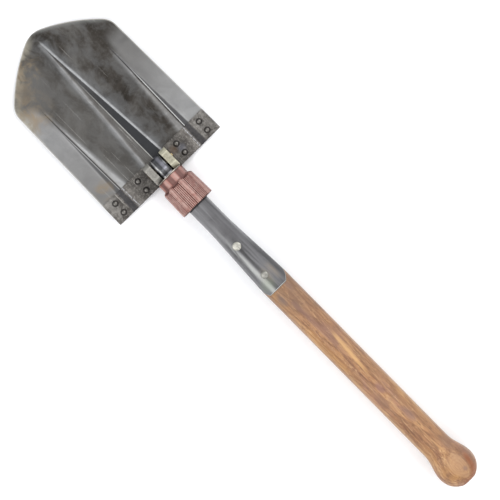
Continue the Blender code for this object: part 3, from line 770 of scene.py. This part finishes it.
def nutProfile():  # (s, radius, share of the ribs, share of the lobes, share of the setback)
    plan = nutPlan
    front, rear, edge, neck = plan["frontS"], plan["rearS"], plan["edge"], plan["neck"]
    neckEnd, grip = plan["neckEndS"], plan["gripStartS"]
    gripFront, gripRear = plan["gripFront"], plan["gripRear"]
    start = (front, plan["bore"], 0, 0, 0)  # the outline ends there too
    return [
        start, (front, neck - edge * 1.2, 0, 0.8, 0), (front + edge * 0.3, neck - edge * 0.4, 0, 0.9, 0),
        (front + edge * 1.2, neck, 0, 1, 0), (mix(front, neckEnd, 0.5), neck, 0, 1, 0),
        (neckEnd - 0.0003, neck, 0, 1, 0.7), (neckEnd + 0.0002, neck + 0.0004, 0, 1, 1),
        (grip - 0.0008, gripFront - 0.0009, 0.3, 0.3, 1), (grip - 0.0002, gripFront - 0.0002, 0.8, 0.1, 1),
        (grip + 0.0006, gripFront + 0.0001, 1, 0, 1), (grip + 0.0045, gripFront + 0.0002, 1, 0, 0.3),
        (rear - edge * 1.2, gripRear, 1, 0, 0), (rear - edge * 0.3, gripRear - edge * 0.4, 0.95, 0, 0),
        (rear, gripRear - edge * 1.2, 0.8, 0, 0), (rear, plan["bore"] + 0.0012, 0, 0, 0),
        (rear - 0.0008, plan["bore"], 0, 0, 0), start,
    ]


def lobePlace(turn):  # 0 on a lobe's crown, 1 in the middle of the recess between two lobes
    plan = nutPlan
    share = (turn - plan["lobeTurn"]) / math.tau * plan["lobes"] % 1
    return min(share, 1 - share) * 2


def ribDepth(turn):
    plan = nutPlan
    place = lobePlace(turn)
    if place < plan["facet"]:
        return plan["facetSag"] * (place / plan["facet"]) ** 2
    if place < plan["crown"]:
        inside = (place - plan["facet"]) / (plan["crown"] - plan["facet"])
        groove = plan["fineGroove"] * (1 - smoothStep(inside, 0.05, 0.35))
        return groove + plan["deepGroove"] * smoothStep(inside, 0.7, 0.97)
    inside = (place - plan["crown"]) / (1 - plan["crown"])
    wave = abs(math.sin(math.pi * inside * plan["fineRibs"] / 2))
    groove = plan["fineGroove"] * (1 - min(1, wave * plan["ribSharpness"]))
    entry = (plan["deepGroove"] - plan["gripRecess"]) * (1 - smoothStep(inside, 0, 0.14))
    return plan["gripRecess"] + max(groove, entry)


def makeNut(material):
    plan = nutPlan
    profile = nutProfile()

    def place(turn, row):
        s, radius, ribs, lobes, setback = profile[row]
        recess = smoothStep(lobePlace(turn), 0.1, 0.8)
        radius -= ribs * ribDepth(turn) + lobes * plan["neckRecess"] * recess
        return s + setback * plan["frontSetback"] * recess, radius

    bm = wrapped(plan["columns"], len(profile) - 1, place)
    finish("lockingNut", bm, "nut", ["locking_nut"], material, 32)


def nutPlastic():
    look = Look("nutPlastic", roughness=0.5, Specular_IOR_Level=0.35)
    plan = nutPlan
    radius = look.distance(look.x, look.z - axisZ)
    behind = (look.ahead + plan["gripStartS"]) / (plan["gripStartS"] - plan["rearS"])
    full = plan["gripFront"] + behind * (plan["gripRear"] - plan["gripFront"])
    onGrip = look.step(behind, -0.05, 0.0)
    depth = (full - radius) * onGrip + (plan["neck"] - radius) * (1 - onGrip)
    swirl = look.grain((120, 40, 120), 5, 0.6, 1.2)
    look.colour = look.ramp(swirl, [(0.3, (0.18, 0.072, 0.058)), (0.52, (0.27, 0.122, 0.1)),
                                    (0.74, (0.345, 0.175, 0.148))])
    # the crowns of the grip and the neck painted paler: rubbed, and partly a painted highlight
    rubbedAndSheen = look.step(depth, 0.00036, 0.0001) * onGrip * look.step(look.noise(160, 4, 0.6), 0.3, 0.62)
    polished = look.step(depth, 0.00035, 0.0) * (1 - onGrip)
    look.paint(look.larger(rubbedAndSheen * 0.6, polished * 0.45), (0.385, 0.255, 0.22))
    # painted shade in the grip's grooves and in the neck's recesses
    grimeAndShade = look.step(depth, 0.00026, 0.00044) * onGrip
    recess = look.step(depth, 0.0004, 0.0009) * (1 - onGrip)
    look.paint(look.larger(grimeAndShade * 0.97, recess * 0.72), (0.06, 0.017, 0.013))
    # painted shade in the corner at the neck's end, and painted shade on the right side
    corner = look.band(look.ahead + plan["neckEndS"] + 0.0006, 0.0016, 0.0002)
    look.paint(corner * 0.55, (0.1, 0.034, 0.028))
    look.tones(look.x, (0.004, 0.016, 0.3, (0.11, 0.045, 0.036)))
    pores = look.noise(620, 3, 0.6, 0.4, look.stretch((1, 0.35, 1)))
    look.paint(look.step(pores, 0.5, 0.7) * 0.3 * onGrip, (0.43, 0.33, 0.29))
    height = swirl * 0.5 + look.noise(900, 3, 0.6) * 0.5
    return look.done(0.44 + grimeAndShade * 0.2 - polished * 0.08, height, 0.3, 0.0003)


socketPlan = {
    "frontS": 0.0463, "taperStartS": 0.0933, "taperEndS": 0.176, "rearS": 0.1866,
    "radius": 0.013, "wall": 0.0015, "notchS": 0.1746, "notchHalf": 0.0123,
    "roll": math.radians(-9), "rivets": {"front": (0.1218, 0.005), "rear": (0.1655, 0.00435)},
    "rivetShaft": 0.0026, "rivetHeight": 0.0021, "soft": 0.006,
}


def socketRadius(s):
    plan = socketPlan
    start, end, soft = plan["taperStartS"], plan["taperEndS"], plan["soft"]
    slope = (woodPlan["radius"] - plan["radius"]) / (end - start)
    return plan["radius"] + slope * (softRamp(s - start, soft) - softRamp(s - end, soft))


def strapEnd(turn):  # where the socket's rear edge lies: two straps with a V notch at each side
    plan = socketPlan
    height = woodPlan["radius"] * abs(math.cos(turn - plan["roll"]))
    reach = (plan["rearS"] - plan["notchS"]) * height / plan["notchHalf"]
    return plan["notchS"] + min(reach, plan["rearS"] - plan["notchS"])


def makeSocket(material):
    plan = socketPlan
    rows = 60

    def place(turn, row):
        s = mix(plan["frontS"], strapEnd(turn), (row / rows) ** 0.8)
        return s, socketRadius(s)

    bm = wrapped(144, rows, place)
    gap = bm.verts.layers.float.new("edgeGap")
    for corner in bm.verts:
        turn = math.atan2(corner.co.x, corner.co.z - axisZ)
        s = pivot.y - corner.co.y
        corner[gap] = min(0.02, strapEnd(turn) - s, s - plan["frontS"] + 0.001)
    for corner in grownCorners(bm):
        radius = math.hypot(corner.co.x, corner.co.z - axisZ)
        share = (radius - plan["wall"]) / radius
        corner.co.x *= share
        corner.co.z = axisZ + (corner.co.z - axisZ) * share
    outward(bm)
    bevelSharp(bm, 0.0003, 2, 55)
    finish("socketTube", bm, "handle", ["socket"], material, 35)


def makeSocketRivets(material):
    plan = socketPlan
    height = plan["rivetHeight"]
    for end, (s, head) in plan["rivets"].items():
        seat = socketRadius(s) - 0.0007
        place = Matrix.Translation((0, pivot.y - s, axisZ)) @ Matrix.Rotation(plan["roll"], 4, "Y")
        bm = rivetMesh(plan["rivetShaft"], (head, height, seat), (head, height, -seat), place, 40)
        name = f"socketRivet{end.title()}"
        finish(name, bm, "handle", [f"socket_rivet_{end}"], material, 50)


def socketRivetMetal():
    look = Look("socketRivetMetal", metallic=0.7, roughness=0.45)
    grain = look.noise(500, 4, 0.65, 0.6)
    look.colour = look.ramp(grain, [(0.3, (0.2, 0.195, 0.17)), (0.5, (0.38, 0.37, 0.33)),
                                    (0.72, (0.56, 0.55, 0.49))])
    look.tones(look.ahead, (-0.135, -0.15, 0.6, (0.16, 0.155, 0.145)))
    return look.done(0.36 + grain * 0.25, grain, 0.4, 0.0004)


def socketSteel():
    look = Look("socketSteel", metallic=0.45, roughness=0.5, Specular_IOR_Level=0.4)
    blotch = look.noise(45, 5, 0.6, 0.4)
    look.colour = look.ramp(blotch, [(0.3, (0.058, 0.057, 0.059)), (0.7, (0.112, 0.11, 0.114))])
    pipes = look.grain((170, 9, 170), 3, 0.5, 0.2, (1, 4, 2))
    look.paint(look.step(pipes, 0.44, 0.6) * 0.7, (0.175, 0.174, 0.18))
    rubbedAndSheen = look.grain((160, 22, 160), 4, 0.6, 0.5)
    # painted highlight: a pale lengthwise line on the left of the tube
    line = look.band(look.x + 0.0078, 0.004, 0.0004)
    line = line * look.step(look.ahead, -0.07, -0.16)
    look.paint(line * look.step(rubbedAndSheen, 0.3, 0.56) * 0.7, (0.37, 0.375, 0.36))
    # painted shade in a band left of the middle and on the right side
    shade = look.band(look.x + 0.0022, 0.0034, 0.0006) * look.step(look.ahead, -0.118, -0.13)
    look.paint(shade * 0.65, (0.03, 0.029, 0.03))
    look.tones(look.x, (0.0005, 0.0055, 0.42, (0.03, 0.029, 0.032)))
    # a painted highlight near the front, and painted reflections along both sides of the tube
    pale = look.band(look.x + 0.0085, 0.004, 0.001) * look.step(look.ahead, -0.118, -0.108)
    look.paint(pale * 0.4, (0.21, 0.21, 0.215))
    rims = look.band(look.x, 0.0095, 0.0128) * look.step(look.ahead, -0.15, -0.09)
    look.paint(rims * 0.55, (0.3, 0.3, 0.305))
    # painted shadow in a dark band just behind the nut
    nutShadow = look.band(look.ahead + 0.0592, 0.0011, 0.0006)
    look.paint(nutShadow * 0.9, (0.01, 0.009, 0.009))
    brown = look.spot(0.004, -0.168, 0.016, 0.003)
    look.paint(brown * look.step(rubbedAndSheen, 0.38, 0.62) * 0.5, (0.2, 0.165, 0.125))
    look.paint(look.spot(-0.008, -0.176, 0.012, 0.002) * 0.3, (0.2, 0.24, 0.16))
    edge = look.attribute("edgeGap")
    worn = look.step(edge + (rubbedAndSheen - 0.5) * 0.0008, 0.0011, 0.0002)
    look.paint(worn * 0.85, (0.52, 0.52, 0.49))
    look.paint(look.scratches(0.1, 1500, (5.2, 0.4, 0), 0.68) * 0.35, (0.36, 0.36, 0.36))
    height = look.noise(600, 3, 0.6) * 0.5 + look.noise(70, 3, 0.5)
    return look.done(0.46 + blotch * 0.14, height, 0.25, 0.0004)


woodPlan = {
    "radius": 0.01715, "ball": 0.02315, "flareS": 0.432, "ballS": 0.463, "ballLength": 0.024,
    "noseS": 0.16, "noseFront": 0.0148, "noseRear": 0.015, "lip": 0.0169, "lipS": 0.0002, "faceS": 0.0006,
}


def makeHandle(material):
    plan = woodPlan
    endS = pivot.y - woodLow[1]
    joinRows, shaftRows, ballRows = 8, 40, 44
    endTurn = math.asin((endS - plan["ballS"]) / plan["ballLength"])
    steadyS = socketPlan["rearS"] + 0.01

    def place(turn, row):
        lipS = strapEnd(turn) + plan["lipS"]
        faceS = strapEnd(turn) + plan["faceS"]
        opening = [(plan["noseS"], 0), (plan["noseS"], plan["noseFront"]), (lipS, plan["noseRear"]),
                   (lipS, plan["lip"]), (faceS, plan["radius"])]
        if row < len(opening):
            return opening[row]
        row -= len(opening) - 1
        if row <= joinRows:
            return mix(faceS, steadyS, row / joinRows), plan["radius"]
        row -= joinRows
        if row <= shaftRows:
            return mix(steadyS, plan["flareS"], row / shaftRows), plan["radius"]
        row -= shaftRows
        half = ballRows // 2
        if row <= half:
            share = row / half
            rise = (1 - math.cos(math.pi * share)) / 2
            return mix(plan["flareS"], plan["ballS"], share), mix(plan["radius"], plan["ball"], rise)
        row -= half
        if row <= half:
            turned = endTurn * row / half
            return plan["ballS"] + plan["ballLength"] * math.sin(turned), plan["ball"] * math.cos(turned)
        return endS, 0

    openingRows, endRows = 4, 1
    bm = wrapped(120, openingRows + joinRows + shaftRows + ballRows + endRows, place)
    outward(bm)
    bevelSharp(bm, 0.0012, 4, 50)
    finish("woodenHandle", bm, "handle", ["wooden_handle"], material, 40)


woodStains = [
    (-0.0095, 0.199, 0.006, (0.145, 0.12, 0.115)), (0.0075, 0.192, 0.005, (0.165, 0.11, 0.1)),
    (-0.0012, 0.215, 0.005, (0.18, 0.11, 0.08)), (-0.008, 0.356, 0.006, (0.195, 0.105, 0.07)),
    (0.0035, 0.385, 0.0065, (0.215, 0.13, 0.105)), (0.001, 0.342, 0.0045, (0.2, 0.105, 0.095)),
    (0.012, 0.435, 0.007, (0.2, 0.12, 0.085)),
]


def handleWood():
    look = Look("handleWood", roughness=0.55, Specular_IOR_Level=0.25)
    back = 0 - look.ahead
    # growth rings about a pith that runs beside the handle and leans a little against it
    wander = look.grain((9, 3.2, 9), 3, 0.5, 0.0)
    ringX = look.x + 0.006 + (back - 0.3) * 0.02 + (wander - 0.5) * 0.022
    ringZ = look.z - axisZ + 0.03 - (back - 0.3) * 0.075 + (wander - 0.5) * 0.016
    ring = look.maths("FRACT", look.distance(ringX, ringZ) / 0.0031)
    late = look.step(ring, 0.3, 0.92) * look.step(ring, 1.0, 0.93)
    fibre = look.grain((640, 12, 640), 5, 0.65, 0.1)
    tone = look.grain((80, 9, 80), 4, 0.55, 0.3)
    look.colour = look.ramp(tone, [(0.3, (0.2, 0.088, 0.044)), (0.5, (0.32, 0.162, 0.076)),
                                   (0.7, (0.46, 0.262, 0.12))])
    look.paint(late * 0.62, (0.165, 0.07, 0.038))
    streak = look.grain((240, 15, 240), 4, 0.6, 0.4, (5, 1, 8))
    look.tones(streak, (0.52, 0.7, 0.55, (0.53, 0.33, 0.165)), (0.48, 0.32, 0.6, (0.15, 0.068, 0.042)))
    look.tones(fibre, (0.42, 0.72, 0.35, (0.54, 0.35, 0.19)), (0.46, 0.26, 0.45, (0.13, 0.06, 0.036)))
    # a darker heart streak along the middle of the front half
    heartWide = look.grain((40, 12, 40), 3, 0.6, 0.2, (7, 2, 3))
    heart = look.band(look.x - 0.001 + (heartWide - 0.5) * 0.012, 0.0065, 0.001)
    heart = heart * look.step(back, 0.3, 0.262) * look.step(back, 0.196, 0.212)
    look.paint(heart * 0.55, (0.145, 0.075, 0.052))
    pores = look.grain((1300, 60, 1300), 3, 0.5, 0.0, (3, 1, 2))
    pores = look.step(pores, 0.58, 0.67) * look.step(look.noise(26, 2, 0.5), 0.36, 0.56)
    look.paint(pores * 0.75, (0.06, 0.027, 0.015))
    grimeAndShade = look.noise(30, 4, 0.6, 0.5)
    nearSocket = look.step(back, 0.25, 0.19)
    dirt = look.step(grimeAndShade, 0.56, 0.74) * 0.45 + nearSocket * look.step(grimeAndShade, 0.4, 0.6) * 0.5
    look.paint(dirt, (0.11, 0.07, 0.052))
    ballStain = look.spot(0.016, -0.462, 0.02, 0.005) * look.step(grimeAndShade, 0.34, 0.6)
    look.paint(ballStain * 0.75, (0.095, 0.055, 0.05))
    # short flecks, dark veins, warmer and cooler patches, and stains
    flecks = look.grain((520, 110, 520), 4, 0.7, 0.9, (3, 7, 1), 0.12)
    look.tones(flecks, (0.54, 0.66, 0.5, (0.52, 0.33, 0.17)), (0.46, 0.33, 0.75, (0.118, 0.055, 0.038)))
    veins = look.grain((460, 20, 460), 3, 0.65, 0.5, (1, 9, 4), 0.04)
    look.tones(veins, (0.55, 0.68, 0.62, (0.118, 0.054, 0.034)))
    hue = look.noise(48, 3, 0.6, 0.6, look.stretch((1, 0.35, 1), (8, 3, 2)))
    look.tones(hue, (0.52, 0.68, 0.4, (0.44, 0.235, 0.08)), (0.46, 0.32, 0.4, (0.3, 0.165, 0.125)))
    for place, fromPin, reach, shade in woodStains:
        away = look.distance(look.x - place, (back - fromPin) * 0.45) + (hue - 0.5) * 0.006
        look.tones(away, (reach, reach * 0.25, 0.6, shade))
    # a red-brown vein that leans across, and a pale stripe behind it
    vein = look.band(look.x + 0.0012 - (back - 0.23) * 0.026 + (hue - 0.5) * 0.01, 0.0036, 0.0012)
    vein = vein * look.step(back, 0.2, 0.222) * look.step(back, 0.305, 0.275)
    look.paint(vein * 0.55, (0.205, 0.11, 0.085))
    stripe = look.band(look.x - 0.0062 + (back - 0.269) * 0.065, 0.0026, 0.001)
    stripe = stripe * look.step(back, 0.255, 0.272) * look.step(back, 0.33, 0.305)
    look.paint(stripe * 0.65, (0.56, 0.34, 0.145))
    # painted shade on the right side of the handle, and painted reflections along both sides
    look.tones(look.x, (0.002, 0.009, 0.3, (0.24, 0.13, 0.07)))
    girth = woodPlan["radius"] + look.step(back, 0.432, 0.458) * (woodPlan["ball"] - woodPlan["radius"])
    flank = look.step(abs(look.x) / girth, 0.84, 0.99) * look.step(tone, 0.3, 0.55)
    look.paint(flank * 0.36, (0.43, 0.35, 0.275))
    look.paint(nearSocket * 0.38, (0.15, 0.088, 0.06))
    # the knot on the ball: a pale oval in a red-brown arc, with a small grey eye
    oval = look.distance(look.x - 0.0015, (back - 0.4635) * 0.6) + (hue - 0.5) * 0.007
    look.tones(oval, (0.0112, 0.008, 0.68, (0.38, 0.222, 0.118)))
    knotLines = look.step(look.maths("SINE", oval * 2600.0), 0.1, 1.0) * look.step(oval, 0.0185, 0.011)
    look.paint(knotLines * look.step(back, 0.436, 0.45) * 0.14, (0.195, 0.08, 0.04))
    redArc = look.band(oval - 0.013, 0.0042, 0.0008)
    redArc = redArc * look.step(look.x + (back - 0.468) * 0.9, 0.002, 0.012)
    look.paint(redArc * 0.72, (0.225, 0.075, 0.03))
    eye = look.distance(look.x - 0.0056, (back - 0.4705) * 0.8)
    look.tones(eye, (0.0036, 0.0008, 0.6, (0.19, 0.115, 0.095)))
    return look.done(0.5 + late * 0.08 + dirt * 0.12, fibre * 0.5 - pores * 0.9 - late * 0.25, 0.4, 0.0004)


makeBlade(bladeSteel())
bracketLook = bracketSteel()
for side, sign in (("left", -1), ("right", 1)):
    makeBracket(side, sign, bracketLook)
makeBladeRivets(rivetSteel())
makePin(pinMetal())
print("blade and hinge made")
makeTongue(tongueSteel())
makeWasher(bareSteel())
makeInsert(castMetal())
makeNut(nutPlastic())
print("nut made")
makeSocket(socketSteel())
makeSocketRivets(socketRivetMetal())
makeHandle(handleWood())
print("handle made")


studio = {
    "floor": (0.93, 0.93, 0.94), "world": (0.62, 0.63, 0.65), "worldStrength": 0.92,
    "floorEdge": (0.95, 0.95, 0.955), "cameraDistance": 3.0, "viewWidth": 0.552,
    "roll": math.radians(-44.58), "aim": (0.0053, 0.0052, 0.02),
    "lights": {"leftBox": ((-1.7, 0.3, 1.9), (1.6, 2.2), 46), "rightBox": ((1.8, 0.4, 1.9), (1.6, 2.2), 56),
               "rearBox": ((0.0, -2.0, 2.0), (2.0, 1.0), 22)},  # place, size and power
}


def makeFloor():
    bm = bmesh.new()
    bmesh.ops.create_grid(bm, x_segments=2, y_segments=2, size=6)
    mesh = bpy.data.meshes.new("floor")
    bm.to_mesh(mesh)
    bm.free()
    look = Look("floorPaper", roughness=0.85)
    tint = look.noise(3.0, 3, 0.5)
    look.feed("Base Color", look.ramp(tint, [(0.3, studio["floor"]), (0.7, studio["floorEdge"])]))
    mesh.materials.append(look.material)
    floor = linked("floor", mesh)


def areaLight(name, place, size, power):  # aimed at the middle of the floor
    data = bpy.data.lights.new(name, "AREA")
    data.shape = "RECTANGLE"
    data.size, data.size_y = size
    data.energy = power
    lamp = linked(name, data)
    lamp.location = place
    lamp.rotation_euler = (-Vector(place)).to_track_quat("-Z", "Y").to_euler()


makeFloor()
for lampName, lampPlan in studio["lights"].items():
    areaLight(lampName, *lampPlan)

world = bpy.data.worlds.new("studio")
world.use_nodes = True
background = world.node_tree.nodes["Background"]
background.inputs["Color"].default_value = (*studio["world"], 1)
background.inputs["Strength"].default_value = studio["worldStrength"]
bpy.context.scene.world = world

cameraData = bpy.data.cameras.new("camera")
cameraData.lens = cameraData.sensor_width * studio["cameraDistance"] / studio["viewWidth"]
cameraData.clip_end = 50
camera = linked("camera", cameraData)
camera.location = Vector(studio["aim"]) + Vector((0, 0, studio["cameraDistance"]))
camera.rotation_euler = (0, 0, studio["roll"])
bpy.context.scene.camera = camera
bpy.context.scene.view_settings.view_transform = "Standard"
print("studio ready")
